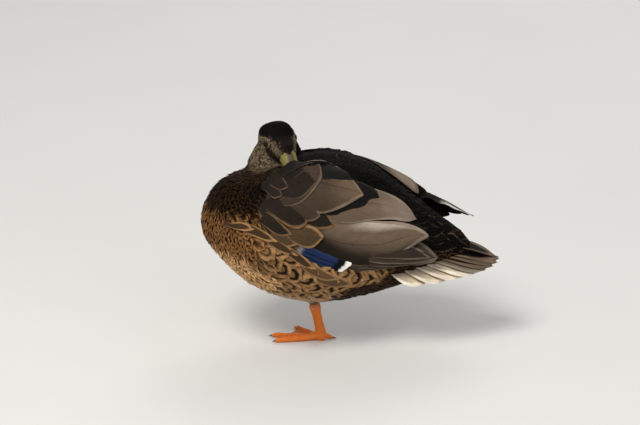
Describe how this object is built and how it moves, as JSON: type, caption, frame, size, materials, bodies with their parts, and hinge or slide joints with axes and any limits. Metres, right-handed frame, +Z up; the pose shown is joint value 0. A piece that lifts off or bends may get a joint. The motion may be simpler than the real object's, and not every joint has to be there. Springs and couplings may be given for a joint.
{
  "type": "resting drake mallard duck in eclipse plumage",
  "caption": "Life-size still model of a dabbling duck asleep on one leg, its head turned back and its bill tucked under the back feathers.",
  "frame": {"origin": "on the floor, under the middle of the whole bird", "axes": "+X from the breast to the tail, -Y to the duck's left side, towards which its head is turned, +Z up"},
  "size_m": [0.3593, 0.166, 0.2735],
  "materials": {
    "body_plumage": "matte",
    "head_plumage": "matte",
    "flank_feathers": "matte",
    "back_feathers": "matte",
    "tertial_feathers": "satin",
    "speculum_feathers": "satin",
    "flight_feathers": "satin",
    "tail_feathers": "matte",
    "eye": "gloss",
    "bill": "satin",
    "leg_skin": "satin",
    "claw": "satin"
  },
  "bodies": {
    "root": {"head": "head_plumage", "eye_left": "eye", "eye_right": "eye", "bill_upper": "bill", "bill_lower": "bill", "neck": "head_plumage", "trunk": "body_plumage", "flank_left": "flank_feathers", "flank_right": "flank_feathers", "scapulars_left": "back_feathers", "scapulars_right": "back_feathers", "coverts_left": "back_feathers", "coverts_right": "back_feathers", "tertials_left": "tertial_feathers", "tertials_right": "tertial_feathers", "secondaries_left": "speculum_feathers", "secondaries_right": "speculum_feathers", "primaries_left": "flight_feathers", "primaries_right": "flight_feathers", "tail": "tail_feathers", "thigh_left": "body_plumage", "tarsus_left": "leg_skin", "foot_left": "leg_skin", "claw_left_outer": "claw", "claw_left_middle": "claw", "claw_left_inner": "claw", "claw_left_hind": "claw", "tarsus_right": "leg_skin", "foot_right": "leg_skin"}
  },
  "joints": []
}
